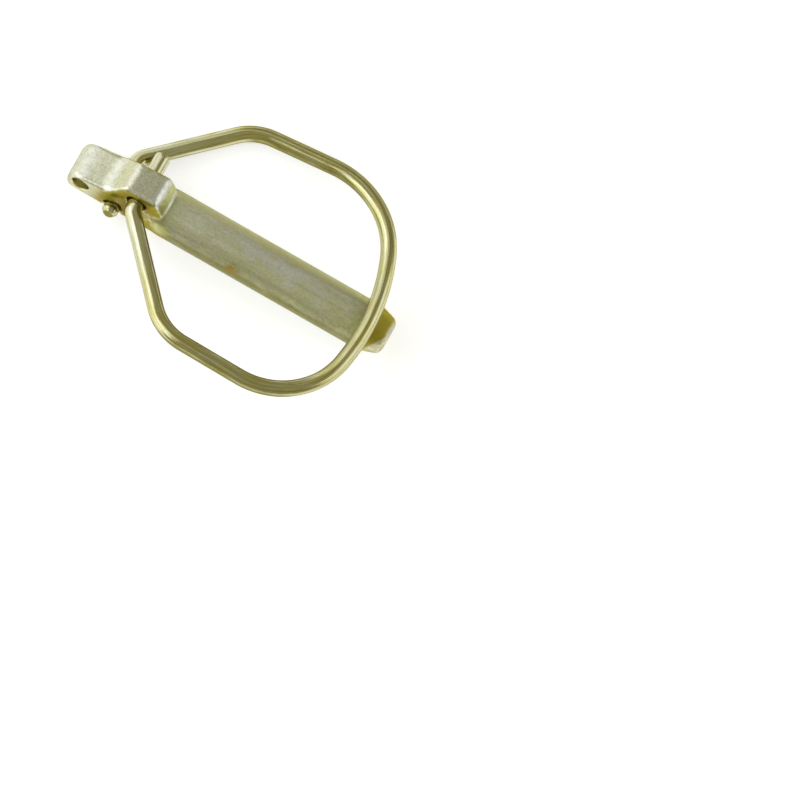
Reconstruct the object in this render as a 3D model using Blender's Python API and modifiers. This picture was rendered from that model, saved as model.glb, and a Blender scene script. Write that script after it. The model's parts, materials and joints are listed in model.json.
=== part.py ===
# Wire lock pin: a forged pin with a stepped head, and a spring wire ring that snaps over its shank.
#
# The pin is first laid out in its own frame: +X from the head to the tip, +Z out of the head's
# stepped top, and X = 0 at the shoulder where the round shank begins. Both pieces hang on one
# empty, which rolls that frame about X until the ring's left strand meets the ground, as the
# pin comes to rest, and sets the middle of its footprint over the origin.

import math

import bmesh
import bpy
from mathutils import Matrix, Vector

# Shank and tip
SHANK_RADIUS = 0.0050
SHANK_LENGTH = 0.0508
TIP_TAPER_LENGTH = 0.0043
TIP_TAPER_DEG = 17.0
TIP_TAPER_FILLET = 0.0030
TIP_CORNER_RADIUS = 0.0012

# Head, lengths along the pin from the eye end to the shoulder
EYE_END_LENGTH = 0.0077
RAMP_LENGTH = 0.0039
POST_LENGTH = 0.0064
SHOULDER_LENGTH = 0.0021

# Head, heights above the shank's axis and half widths across it
EYE_END_HEIGHT = 0.0040
EYE_END_FALL = 0.0011
POST_HEIGHT = 0.0082
POST_FALL = 0.0004
HEAD_HALF_WIDTH = 0.00427
EYE_END_TAPER = 0.0002
POST_HALF_WIDTH = 0.00335
POST_FLARE = 0.00015
LEDGE_HEIGHT = 0.0012
LEDGE_RISE = 0.0008

# Head, edges and blends
END_ROUNDING = 0.0016
END_CROWN_RADIUS = 0.0030
END_CROWN_DROP = 0.0006
RAMP_FOOT_RADIUS = 0.0016
RAMP_TOP_RADIUS = 0.0013
POST_EDGE_RADIUS = 0.0009
SHOULDER_FOOT_RADIUS = 0.0004
TOP_EDGE_RADIUS = 0.0006
WAIST_LEAD = 0.0026
RUN_OUT_LENGTH = 0.0036
RUN_OUT_OVERLAP = 0.0003

# Holes across the head
EYE_RADIUS = 0.0019
EYE_SETBACK = 0.00306
EYE_RISE = 0.0003
WIRE_CLEARANCE = 0.0006
LOW_HOLE_LEAD = 0.0009
LOW_HOLE_FLOOR = 0.00125
HIGH_HOLE_SETBACK = 0.0034
HIGH_HOLE_ROOF = 0.00205
MOUTH_CHAMFER = 0.0002

# Wire ring, seen from above the head
WIRE_RADIUS = 0.00165
SEAT_GAP = 0.0003
RING_HALF_WIDTH = 0.0239
LEFT_FLARE = 0.0009
RIGHT_EXTRA_WIDTH = 0.0006
RIGHT_FLARE = 0.0013
LEFT_LEG_END_X = 0.0077
RIGHT_LEG_END_X = 0.0112
APEX_SETBACK = 0.0037
APEX_OFFSET_Y = 0.0011
LEFT_FAR_SETBACK = 0.0091
RIGHT_FAR_SETBACK = 0.0039
LEFT_LEG_STAND_OFF = 0.00323
RIGHT_LEG_STAND_OFF = 0.00165
LOW_END_PROUD = 0.0015
HIGH_END_PROUD = 0.0050

# Wire ring, bend radii on the wire's centre line
LEG_ROOT_BEND = 0.0025
LEFT_LEG_BEND = 0.0105
RIGHT_LEG_BEND = 0.0113
LEFT_FAR_BEND = 0.0190
RIGHT_FAR_BEND = 0.0158
APEX_BEND = 0.0450
WIRE_END_CHAMFER = 0.0003

# Fineness of the facets
ARC_STEP_DEG = 15.0
BEND_STEP_DEG = 9.0
WIRE_POINT_SPACING = 0.0030
STATION_SPACING = 0.00015
HOLE_SEGMENTS = 24
HALF_SECTION_STEPS = 20
UNDERSIDE_STEPS = 6
FLANK_STEPS = 4
POST_SIDE_STEPS = 3
EDGE_STEPS = 3
END_ROUNDING_STEPS = 4
WAIST_STEPS = 5
RUN_OUT_STEPS = 6

# Places that follow from the sizes
POST_TIP_SIDE_X = -SHOULDER_LENGTH
POST_HEAD_SIDE_X = POST_TIP_SIDE_X - POST_LENGTH
RAMP_FOOT_X = POST_HEAD_SIDE_X - RAMP_LENGTH
HEAD_END_X = RAMP_FOOT_X - EYE_END_LENGTH
TIP_END_X = SHANK_LENGTH
HOLE_RADIUS = WIRE_RADIUS + WIRE_CLEARANCE
LOW_HOLE = (POST_HEAD_SIDE_X - LOW_HOLE_LEAD, -SHANK_RADIUS + LOW_HOLE_FLOOR + HOLE_RADIUS)
HIGH_HOLE = (POST_TIP_SIDE_X - HIGH_HOLE_SETBACK, POST_HEIGHT - HIGH_HOLE_ROOF - HOLE_RADIUS)
EYE = (HEAD_END_X + EYE_SETBACK, EYE_RISE)
RING_SEAT_HEIGHT = SHANK_RADIUS + SEAT_GAP + WIRE_RADIUS


def clear_scene():
    """Remove whatever the file holds before the model is built."""
    for item in list(bpy.data.objects):
        bpy.data.objects.remove(item, do_unlink=True)


def make_collection(name):
    """A new collection under the scene's own."""
    collection = bpy.data.collections.new(name)
    bpy.context.scene.collection.children.link(collection)
    return collection


def zinc_material(name, color, roughness):
    """Zinc-plated, passivated steel."""
    material = bpy.data.materials.new(name)
    material.use_nodes = True
    shader = material.node_tree.nodes["Principled BSDF"]
    shader.inputs["Base Color"].default_value = (*color, 1.0)
    shader.inputs["Metallic"].default_value = 1.0
    shader.inputs["Roughness"].default_value = roughness
    return material


def bend_setbacks(corners, half_angles, radii):
    """How far before and after each inner corner its arc starts and ends.

    Where two neighbouring bends need more than the straight run between them, both shrink.
    """
    setbacks = [radius / math.tan(half) for radius, half in zip(radii, half_angles)]
    needs = [0.0] + setbacks + [0.0]
    runs = [(end - start).length for start, end in zip(corners, corners[1:])]
    shares = [min(1.0, run / max(first + second, 1e-9)) for run, first, second in zip(runs, needs, needs[1:])]
    return [setback * min(before, after) for setback, before, after in zip(setbacks, shares, shares[1:])]


def filleted_path(corners, radii, step_deg):
    """Points along a path of straight runs whose inner corners are rounded by arcs.

    corners are 2D points, and radii has one value for each inner corner.
    """
    corners = [Vector(corner) for corner in corners]
    triples = list(zip(corners, corners[1:], corners[2:]))
    half_angles = [(before - corner).angle(after - corner) / 2.0 for before, corner, after in triples]
    setbacks = bend_setbacks(corners, half_angles, radii)
    points = [corners[0]]
    for (before, corner, after), half, setback in zip(triples, half_angles, setbacks):
        towards_before = (before - corner).normalized()
        towards_after = (after - corner).normalized()
        centre = corner + (towards_before + towards_after).normalized() * (setback / math.cos(half))
        start = corner + towards_before * setback - centre
        end = corner + towards_after * setback - centre
        sweep = start.angle_signed(end)
        count = max(2, math.ceil(abs(math.degrees(sweep)) / step_deg))
        for index in range(count + 1):
            points.append(centre + Matrix.Rotation(-sweep * index / count, 2) @ start)
    points.append(corners[-1])
    return points


def with_spacing(points, spacing):
    """The same path, with points added where two lie more than spacing apart."""
    result = [points[0]]
    for start, end in zip(points, points[1:]):
        count = max(1, math.ceil((end - start).length / spacing))
        result += [start.lerp(end, index / count) for index in range(1, count + 1)]
    return result


def value_at(path, x):
    """Height of a path of (x, height) points that runs towards +X."""
    for start, end in zip(path, path[1:]):
        if start.x <= x <= end.x and end.x > start.x:
            return start.lerp(end, (x - start.x) / (end.x - start.x)).y
    return path[0].y if x < path[0].x else path[-1].y


def smooth_step(x, start, end):
    """0 before start, 1 after end, and an even S between them."""
    share = min(max((x - start) / (end - start), 0.0), 1.0)
    return share * share * (3.0 - 2.0 * share)


def head_top_path():
    """Side outline of the head's top: eye end, ramp, post and shoulder slope."""
    corners = [
        (HEAD_END_X, EYE_END_HEIGHT - EYE_END_FALL - END_CROWN_DROP),
        (HEAD_END_X + END_CROWN_RADIUS, EYE_END_HEIGHT - EYE_END_FALL),
        (RAMP_FOOT_X, EYE_END_HEIGHT),
        (POST_HEAD_SIDE_X, POST_HEIGHT - POST_FALL),
        (POST_TIP_SIDE_X, POST_HEIGHT),
        (0.0, SHANK_RADIUS),
        (RUN_OUT_OVERLAP * 2.0, SHANK_RADIUS),
    ]
    radii = [END_CROWN_RADIUS, RAMP_FOOT_RADIUS, RAMP_TOP_RADIUS, POST_EDGE_RADIUS, SHOULDER_FOOT_RADIUS]
    return filleted_path(corners, radii, ARC_STEP_DEG)


def tip_path():
    """Outline of the shank's turned end, as (x, radius) points up to the end face."""
    taper = math.tan(math.radians(TIP_TAPER_DEG))
    edge_radius = SHANK_RADIUS - TIP_TAPER_LENGTH * taper
    corners = [
        (TIP_END_X - 2.0 * TIP_TAPER_LENGTH, SHANK_RADIUS),
        (TIP_END_X - TIP_TAPER_LENGTH, SHANK_RADIUS),
        (TIP_END_X, edge_radius),
        (TIP_END_X, 0.0),
    ]
    return filleted_path(corners, [TIP_TAPER_FILLET, TIP_CORNER_RADIUS], ARC_STEP_DEG)[1:-1]


def flank_half_width(x):
    """From the middle of the head to the flats on its lower part, which draw in towards the eye end."""
    return HEAD_HALF_WIDTH - EYE_END_TAPER * max((RAMP_FOOT_X - x) / EYE_END_LENGTH, 0.0)


def post_half_width(x):
    """From the middle of the head to the post's sides, which flare towards the shoulder."""
    return POST_HALF_WIDTH + POST_FLARE * (x - POST_HEAD_SIDE_X) / POST_LENGTH


def head_half_section(x, top_height, inset):
    """Right half of the head's outline at x, from the middle of its underside to that of its top."""
    waist = smooth_step(x, POST_HEAD_SIDE_X - WAIST_LEAD, POST_HEAD_SIDE_X)
    flank = flank_half_width(x)
    low_width = flank - inset
    high_width = flank + (post_half_width(x) - flank) * waist - inset
    radius = SHANK_RADIUS - inset
    top = top_height - inset
    edge = min(TOP_EDGE_RADIUS, high_width * 0.5)
    flat_angle = math.asin(min(low_width / radius, 0.999))
    flat_foot = -radius * math.cos(flat_angle)
    ledge_foot = min(LEDGE_HEIGHT, top - 2.0 * edge)
    ledge_head = min(LEDGE_HEIGHT + LEDGE_RISE, top - 1.5 * edge)

    outline = []
    for step in range(UNDERSIDE_STEPS + 1):
        angle = flat_angle * step / UNDERSIDE_STEPS
        outline.append((radius * math.sin(angle), -radius * math.cos(angle)))
    for step in range(1, FLANK_STEPS + 1):
        outline.append((low_width, flat_foot + (ledge_foot - flat_foot) * step / FLANK_STEPS))
    for step in range(POST_SIDE_STEPS + 1):
        height = ledge_head + (top - edge - ledge_head) * step / POST_SIDE_STEPS
        outline.append((high_width, height))
    for step in range(1, EDGE_STEPS + 1):
        angle = 0.5 * math.pi * step / EDGE_STEPS
        outline.append((high_width - edge + edge * math.cos(angle), top - edge + edge * math.sin(angle)))
    top_steps = HALF_SECTION_STEPS + 1 - len(outline)
    for step in range(1, top_steps + 1):
        outline.append(((high_width - edge) * (1.0 - step / top_steps), top))
    return outline


def round_half_section(radius, top_height=None):
    """Right half of a round outline, with as many points as the head's, and its crown drawn up."""
    crown = (top_height or radius) / radius
    outline = []
    for step in range(HALF_SECTION_STEPS + 1):
        angle = math.pi * step / HALF_SECTION_STEPS
        height = -radius * math.cos(angle)
        outline.append((radius * math.sin(angle), height * crown if height > 0.0 else height))
    return outline


def blended_half_section(x, top_height):
    """Outline where the head's flats run out into the round shank."""
    share = smooth_step(x, RUN_OUT_OVERLAP - RUN_OUT_LENGTH, RUN_OUT_OVERLAP)
    forged = head_half_section(x, top_height, 0.0)
    turned = round_half_section(SHANK_RADIUS, top_height)
    outline = []
    for (head_y, head_z), (round_y, round_z) in zip(forged, turned):
        y = head_y + (round_y - head_y) * share
        z = head_z + (round_z - head_z) * share
        outline.append((y, z))
    return outline


def head_stations(top_path):
    """Places along the head where its outline is drawn, and how far each is drawn in."""
    stations = []
    for step in range(END_ROUNDING_STEPS + 1):
        angle = 0.5 * math.pi * step / END_ROUNDING_STEPS
        x = HEAD_END_X + END_ROUNDING * (1.0 - math.cos(angle))
        stations.append((x, END_ROUNDING * (1.0 - math.sin(angle))))
    places = [point.x for point in top_path]
    waist_start = POST_HEAD_SIDE_X - WAIST_LEAD
    places += [waist_start + WAIST_LEAD * step / WAIST_STEPS for step in range(WAIST_STEPS + 1)]
    run_out_start = RUN_OUT_OVERLAP - RUN_OUT_LENGTH
    places += [run_out_start + RUN_OUT_LENGTH * step / RUN_OUT_STEPS for step in range(RUN_OUT_STEPS + 1)]
    for x in sorted(places):
        if x - stations[-1][0] > STATION_SPACING and x <= RUN_OUT_OVERLAP:
            stations.append((x, 0.0))
    stations[-1] = (RUN_OUT_OVERLAP, 0.0)
    return stations


def full_loop(mesh, x, half_section):
    """Vertices of one closed outline at x, from its right half."""
    right = [mesh.verts.new((x, -y, z)) for y, z in half_section]
    left = [mesh.verts.new((x, y, z)) for y, z in reversed(half_section[1:-1])]
    return right + left


def pin_mesh():
    """The pin's forged and turned body, lofted from the eye end to the tip."""
    top_path = head_top_path()
    mesh = bmesh.new()
    loops = []
    for x, inset in head_stations(top_path):
        top_height = value_at(top_path, x)
        if inset > 0.0:
            section = head_half_section(x, top_height, inset)
        else:
            section = blended_half_section(x, top_height)
        loops.append(full_loop(mesh, x, section))
    for point in tip_path():
        loops.append(full_loop(mesh, point.x, round_half_section(point.y)))
    for first, second in zip(loops, loops[1:]):
        for index in range(len(first)):
            after = (index + 1) % len(first)
            mesh.faces.new((first[index], first[after], second[after], second[index]))
    mesh.faces.new(loops[0])
    mesh.faces.new(loops[-1])
    bmesh.ops.recalc_face_normals(mesh, faces=mesh.faces)
    data = bpy.data.meshes.new("pin")
    mesh.to_mesh(data)
    mesh.free()
    return data


def hole_cutter(name, place, radius, half_width, frame, collection):
    """A turned cutter for a hole across the head, with its two mouths chamfered."""
    reach = half_width * 2.0
    mouth = radius + MOUTH_CHAMFER
    profile = [
        (0.0, reach),
        (mouth, reach),
        (mouth, half_width),
        (radius, half_width - MOUTH_CHAMFER),
        (radius, -half_width + MOUTH_CHAMFER),
        (mouth, -half_width),
        (mouth, -reach),
        (0.0, -reach),
    ]
    data = bpy.data.meshes.new(name)
    edges = [(index, index + 1) for index in range(len(profile) - 1)]
    data.from_pydata([(out, 0.0, along) for out, along in profile], edges, [])
    cutter = bpy.data.objects.new(name, data)
    collection.objects.link(cutter)
    screw = cutter.modifiers.new("turned", "SCREW")
    screw.axis = "Z"
    screw.steps = HOLE_SEGMENTS
    screw.render_steps = HOLE_SEGMENTS
    screw.use_merge_vertices = True
    screw.merge_threshold = 0.00001
    cutter.parent = frame
    cutter.location = (place[0], 0.0, place[1])
    cutter.rotation_euler = (math.radians(90.0), 0.0, 0.0)
    cutter.hide_render = True
    cutter.display_type = "WIRE"
    return cutter


def make_pin(frame, parts, cutters):
    """The forged pin, with its eye and the two offset holes for the wire's ends."""
    pin = bpy.data.objects.new("pin", pin_mesh())
    parts.objects.link(pin)
    pin.parent = frame
    holes = [
        hole_cutter("eye_cutter", EYE, EYE_RADIUS, flank_half_width(EYE[0]), frame, cutters),
        hole_cutter("low_hole_cutter", LOW_HOLE, HOLE_RADIUS, flank_half_width(LOW_HOLE[0]), frame, cutters),
        hole_cutter("high_hole_cutter", HIGH_HOLE, HOLE_RADIUS, post_half_width(HIGH_HOLE[0]), frame, cutters),
    ]
    for cutter in holes:
        cut = pin.modifiers.new(cutter.name, "BOOLEAN")
        cut.operation = "DIFFERENCE"
        cut.object = cutter
    pin.data.shade_smooth()
    pin.data.set_sharp_from_angle(angle=math.radians(35.0))
    pin.data.materials.append(zinc_material("zinc_forging", (0.60, 0.59, 0.48), 0.42))
    return pin


def ring_plan_path():
    """The wire's centre line seen from above the head, as 2D points from end to end."""
    apex_x = SHANK_LENGTH - APEX_SETBACK
    right_width = RING_HALF_WIDTH + RIGHT_EXTRA_WIDTH
    corners = [
        (LOW_HOLE[0], -HEAD_HALF_WIDTH - LOW_END_PROUD),
        (LOW_HOLE[0], HEAD_HALF_WIDTH + LEFT_LEG_STAND_OFF),
        (LEFT_LEG_END_X, RING_HALF_WIDTH),
        (apex_x - LEFT_FAR_SETBACK, RING_HALF_WIDTH + LEFT_FLARE),
        (apex_x, APEX_OFFSET_Y),
        (apex_x - RIGHT_FAR_SETBACK, -right_width - RIGHT_FLARE),
        (RIGHT_LEG_END_X, -right_width),
        (HIGH_HOLE[0], -POST_HALF_WIDTH - RIGHT_LEG_STAND_OFF),
        (HIGH_HOLE[0], POST_HALF_WIDTH + HIGH_END_PROUD),
    ]
    radii = [
        LEG_ROOT_BEND,
        LEFT_LEG_BEND,
        LEFT_FAR_BEND,
        APEX_BEND,
        RIGHT_FAR_BEND,
        RIGHT_LEG_BEND,
        LEG_ROOT_BEND,
    ]
    return with_spacing(filleted_path(corners, radii, BEND_STEP_DEG), WIRE_POINT_SPACING)


def ring_path():
    """The wire's centre line in the pin's frame, climbing from its two holes to its seat on the shank."""
    plan = ring_plan_path()
    crossing = max(range(len(plan)), key=lambda index: plan[index].x)
    crossing_x = plan[crossing].x
    path = []
    for index, point in enumerate(plan):
        hole_x, hole_z = LOW_HOLE if index <= crossing else HIGH_HOLE
        climb = max((point.x - hole_x) / (crossing_x - hole_x), 0.0)
        path.append(Vector((point.x, point.y, hole_z + (RING_SEAT_HEIGHT - hole_z) * climb)))
    return path


def make_ring(path, frame, parts):
    """The spring wire ring, with its origin midway between its two holes."""
    hinge = Vector(((LOW_HOLE[0] + HIGH_HOLE[0]) / 2.0, 0.0, (LOW_HOLE[1] + HIGH_HOLE[1]) / 2.0))
    curve = bpy.data.curves.new("wire_ring", "CURVE")
    curve.dimensions = "3D"
    curve.bevel_depth = WIRE_RADIUS
    curve.bevel_resolution = 4
    curve.use_fill_caps = True
    spline = curve.splines.new("POLY")
    ends = [path[0], path[0] + (path[1] - path[0]).normalized() * WIRE_END_CHAMFER]
    tail = [path[-1] + (path[-2] - path[-1]).normalized() * WIRE_END_CHAMFER, path[-1]]
    points = ends + path[1:-1] + tail
    spline.points.add(len(points) - 1)
    for target, point in zip(spline.points, points):
        target.co = (*(point - hinge), 1.0)
    for target in (spline.points[0], spline.points[-1]):
        target.radius = 1.0 - WIRE_END_CHAMFER / WIRE_RADIUS
    curve.materials.append(zinc_material("zinc_wire", (0.66, 0.65, 0.46), 0.28))
    ring = bpy.data.objects.new("wire_ring", curve)
    parts.objects.link(ring)
    ring.parent = frame
    ring.location = hinge
    return ring


def resting_roll(path):
    """How far the pin rolls about its axis before the ring's left strand meets the ground."""
    rolls = []
    for point in path:
        arm = math.hypot(point.y, point.z)
        if point.y > SHANK_RADIUS and arm > SHANK_RADIUS:
            lift = math.asin((SHANK_RADIUS - WIRE_RADIUS) / arm)
            rolls.append(lift + math.atan2(point.z, point.y))
    return min(rolls)


def make_frame(path, parts):
    """The empty that carries the pin as it rests, over the middle of its footprint."""
    roll = resting_roll(path)
    across = [point.y * math.cos(roll) + point.z * math.sin(roll) for point in path]
    middle_x = (HEAD_END_X + TIP_END_X) / 2.0
    middle_y = (min(across) + max(across)) / 2.0
    frame = bpy.data.objects.new("pin_frame", None)
    parts.objects.link(frame)
    frame.rotation_euler = (-roll, 0.0, 0.0)
    frame.location = (-middle_x, -middle_y, SHANK_RADIUS)
    return frame


def main():
    clear_scene()
    parts = make_collection("wire_lock_pin")
    cutters = make_collection("cutters")
    path = ring_path()
    frame = make_frame(path, parts)
    make_pin(frame, parts, cutters)
    make_ring(path, frame, parts)


main()
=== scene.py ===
"""Wire lock pin: a zinc-plated forged pin with a stepped head, and a spring wire ring round its shank."""

import json
import math

import bmesh
import bpy
from bpy.props import FloatProperty, FloatVectorProperty, IntProperty, PointerProperty
from mathutils import Matrix, Vector, kdtree


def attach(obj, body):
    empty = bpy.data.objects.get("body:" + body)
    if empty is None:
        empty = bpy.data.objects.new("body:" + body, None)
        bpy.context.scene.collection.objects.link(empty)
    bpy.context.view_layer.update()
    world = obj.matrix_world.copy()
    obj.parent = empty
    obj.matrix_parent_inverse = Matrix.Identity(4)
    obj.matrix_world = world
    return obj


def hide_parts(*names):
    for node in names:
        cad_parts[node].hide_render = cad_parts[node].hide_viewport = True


bl_info = {
    "name": "Wire Lock Pin",
    "version": (1, 0, 0),
    "blender": (4, 5, 0),
    "location": "View3D > Sidebar > Lock Pin",
    "description": "Forged lock pin with a spring wire ring, on a pale floor under soft light",
    "category": "Add Mesh",
}

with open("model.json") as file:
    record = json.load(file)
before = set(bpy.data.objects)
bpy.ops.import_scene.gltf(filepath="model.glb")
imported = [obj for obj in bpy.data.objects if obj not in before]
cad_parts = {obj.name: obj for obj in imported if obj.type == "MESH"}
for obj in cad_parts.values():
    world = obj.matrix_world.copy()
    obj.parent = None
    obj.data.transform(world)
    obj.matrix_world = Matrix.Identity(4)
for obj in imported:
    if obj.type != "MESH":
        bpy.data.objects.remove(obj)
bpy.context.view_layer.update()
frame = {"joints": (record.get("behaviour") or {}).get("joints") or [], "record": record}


def mount_place(name):
    """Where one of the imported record's mounts lies."""
    found = [mount for mount in frame["record"]["mounts"] if mount["name"] == name]
    return Vector(found[0]["pos_m"])


# The pin's place and its roll as it lies, from the frame
SWING_AXIS = Vector(frame["joints"][0]["axis"])
RESTING_ROLL = math.atan2(SWING_AXIS.z, -SWING_AXIS.y)
TIP_FACE = mount_place("tip_face")

# How the pieces are cut, joined and smoothed, with lengths in metres and the cone's span in head lengths
OVERLAP = 0.0003
PAST_HEAD = 0.001
TOLERANCE = 0.00001
WELD_DISTANCE = 0.000001
MOUTH_EASE = 0.0002
CONE_SPAN = 1.5
ROUNDING_FACET = 0.00015
ROUND_SIDES = 128
HOLE_SIDES = 96
FORGED_PASSES = 14
LAST_PASSES = 3
SMOOTH_ANGLE = math.radians(40.0)

# Where the wire ends and bends in plan, and each bend's radius: near is the side of -Y and far that of +Y,
# a reach is past the head, out is past the ring's half width, and back is behind the apex
LOW_END_REACH = 0.0018
LOW_ELBOW_REACH = 0.00323
HIGH_ELBOW_REACH = 0.00165
HIGH_END_REACH = 0.0050
ELBOW_BEND = 0.0025
FAR_KNEE_X = 0.0077
FAR_KNEE_BEND = 0.0105
FAR_CORNER_BACK = 0.0091
FAR_CORNER_OUT = 0.0009
FAR_CORNER_BEND = 0.0190
APEX_Y = 0.0011
APEX_BEND = 0.0450
NEAR_CORNER_BACK = 0.0039
NEAR_CORNER_OUT = 0.0019
NEAR_CORNER_BEND = 0.0158
NEAR_KNEE_X = 0.0112
NEAR_KNEE_OUT = 0.0006
NEAR_KNEE_BEND = 0.0113

# The photo's width in pixels, its pixels to the millimetre, the pin's axis in it, and how the view lies
PHOTO_SIZE = 800
PHOTO_SCALE = 5.075
AXIS_IN_PHOTO = (189.1, 224.4)
AXIS_PLACE_X = 0.005517
AXIS_SLOPE = math.radians(29.7)
VIEW_TILT = math.radians(22.0)
LENS = 1200.0
SENSOR = 36.0

# Soft boxes: bearing from +X and angle off the zenith in degrees, width and height in metres, and radiance
SOFT_BOXES = {
    "left_low_box": (202.0, 61.0, 1.25, 0.90, 1.35),
    "left_high_box": (212.0, 31.0, 0.36, 0.42, 0.88),
    "back_box": (146.0, 60.0, 0.80, 0.95, 0.85),
    "right_box": (18.0, 63.0, 1.10, 0.64, 0.88),
}
LAMP_COLOUR = (0.955, 1.0, 1.13)
ROOM_COLOUR = (0.34, 0.325, 0.21)
FLOOR_COLOUR = (0.78, 0.79, 0.86)
WHITE = (1.0, 1.0, 1.0)
FLOOR_SIZE = 6.0
FLOOR_GLOW = 0.62

# Noise: the share of its scale kept along the metal, then its scale, detail, roughness and distortion
CLOUDS = (0.55, 320.0, 3.0, 0.5, 0.8)
MOTTLE = (0.85, 1500.0, 3.0, 0.6, 0.0)
GRAIN = (1.0, 3600.0, 2.0, 0.7, 0.0)
STRIPES = (0.035, 800.0, 3.0, 0.6, 0.0)
DRIFT = (0.40, 420.0, 3.0, 0.6, 0.5)
PATCHES = (0.5, 640.0, 4.0, 0.6, 0.4)
WIRE_CLOUDS = (0.25, 620.0, 4.0, 0.6, 0.0)
WIRE_STREAKS = (0.010, 1700.0, 4.0, 0.65, 0.0)
WIRE_SCRATCHES = (0.03, 5200.0, 2.0, 0.55, 0.0)
DRIFT_SHIFT = (0.02, 0.0, 0.0)
PATCH_SHIFT = (0.0, 0.01, 0.0)

# Marks in the pin's frame, the first a painted shade between the wire holes and the rest stains of the
# plating bath: the centre, how far the colour is full, and how far it fades
SHADE_BY_HOLES = ((-0.0086, 0.0, 0.0008), 0.0018, 0.0030)
JUNCTION = ((0.0010, -0.0044, 0.0016), 0.0008, 0.0020)
SPOT = ((0.0171, -0.0046, 0.0018), 0.0003, 0.0020)
WIRE_BY_HEAD = ((-0.0075, 0.0, 0.0020), 0.0075, 0.0060)

# The direction across the pin's film and its painted shade, how far the slanted line between the tip's gold
# and its painted lit side leans, and how much higher the far film and painted shade reach
FILM_AND_SHADE_ACROSS = (0.0, math.cos(VIEW_TILT), math.sin(VIEW_TILT))
TIP_LIGHT_SLANT = 1.5
FAR_FILM_AND_SHADE = 1.22


def metres(name, default, description):
    """A length that a user may change."""
    return FloatProperty(name=name, default=default, unit="LENGTH", description=description)


def tint(name, default, description):
    """A colour that a user may change."""
    return FloatVectorProperty(name=name, default=default, size=3, subtype="COLOR", description=description)


class PinSizes(bpy.types.PropertyGroup):
    """Sizes in the pin's own frame: +X to the tip, +Z out of the head's top, and X = 0 at the shoulder."""

    shank_radius: metres("Shank radius", 0.0050, "Half the shank")
    shank_length: metres("Shank length", 0.0508, "Shoulder to tip")
    tip_taper_length: metres("Tip taper", 0.0043, "Length of the cone")
    tip_taper_angle: FloatProperty(
        name="Tip angle", default=math.radians(17.0), subtype="ANGLE", description="Slope of the cone"
    )
    tip_corner: metres("Tip corner", 0.0012, "Rounding of the end")
    head_length: metres("Head length", 0.0201, "Eye end to shoulder")
    crown_start: metres("Crown", 0.0174, "Where the eye end falls away")
    ramp_foot: metres("Ramp foot", 0.0121, "From the shoulder")
    ramp_top: metres("Ramp top", 0.0085, "From the shoulder")
    post_edge: metres("Post edge", 0.0021, "From the shoulder")
    end_height: metres("End height", 0.0019, "Top at the eye end")
    crown_height: metres("Crown height", 0.0029, "Top at the crown")
    foot_height: metres("Foot height", 0.0040, "Top at the ramp's foot")
    post_back_height: metres("Post height, head side", 0.0078, "Top where the ramp ends")
    post_height: metres("Post height", 0.0082, "Highest point")
    crown_rounding: metres("Crown rounding", 0.0009, "Across the crown")
    foot_rounding: metres("Foot rounding", 0.0012, "Across the ramp's foot")
    ramp_rounding: metres("Ramp rounding", 0.0009, "Across the ramp's top")
    post_rounding: metres("Post rounding", 0.0012, "Across the post's edge")
    top_edge: metres("Top edges", 0.0008, "Rounding along the head")
    end_rounding: metres("End rounding", 0.0015, "Round the eye end")
    head_half_width: metres("Head half width", 0.00427, "To the flats")
    post_half_width: metres("Post half width", 0.00335, "To its sides")
    post_flare: metres("Post flare", 0.00015, "Wider at the shoulder")
    end_taper: metres("End taper", 0.0002, "Narrower at the eye end")
    shoulder_foot: metres("Shoulder foot", 0.0004, "Past the shoulder")
    run_out: metres("Run-out", 0.0034, "From the flats to the round shank")
    waist_lead: metres("Waist lead", 0.0026, "Narrows before the post")
    ledge_foot: metres("Ledge foot", 0.0002, "Height where the post starts to narrow")
    ledge_head: metres("Ledge head", 0.0027, "Height where it is narrow")
    eye_radius: metres("Eye radius", 0.0019, "Chain eye")
    eye_x: metres("Eye place", -0.01704, "Along the pin")
    eye_z: metres("Eye height", 0.0003, "Above the axis")
    wire_hole_radius: metres("Wire hole radius", 0.00225, "Both holes")
    softness: metres("Voxel", 0.0002, "Fineness of the forged skin")


class WireSizes(bpy.types.PropertyGroup):
    """Sizes of the wire ring, in the pin's frame."""

    radius: metres("Wire radius", 0.00165, "Half the wire")
    low_hole_x: metres("Low hole", -0.0094, "Along the pin")
    low_hole_z: metres("Low hole height", -0.0015, "Above the axis")
    high_hole_x: metres("High hole", -0.0055, "Along the pin")
    high_hole_z: metres("High hole height", 0.0039, "Above the axis")
    seat_height: metres("Seat", 0.00695, "Centre line over the shank")
    half_width: metres("Half width", 0.0239, "Shank to strand")
    apex_x: metres("Apex", 0.0471, "Where the wire crosses the shank")
    end_pinch: metres("End pinch", 0.0007, "Length of the cut ends")
    end_bevel: metres("End bevel", 0.00015, "Rounding of the cut ends")
    low_pinch: FloatProperty(name="Low end", default=0.60, description="Width left at its cut")
    high_pinch: FloatProperty(name="High end", default=0.88, description="Width left at its cut")
    pinch_height: FloatProperty(name="Cut height", default=0.9, description="Height left at both")
    sides: IntProperty(name="Sides", default=48, description="Facets round the wire")
    spacing: metres("Spacing", 0.0006, "Between the wire's rings")


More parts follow.
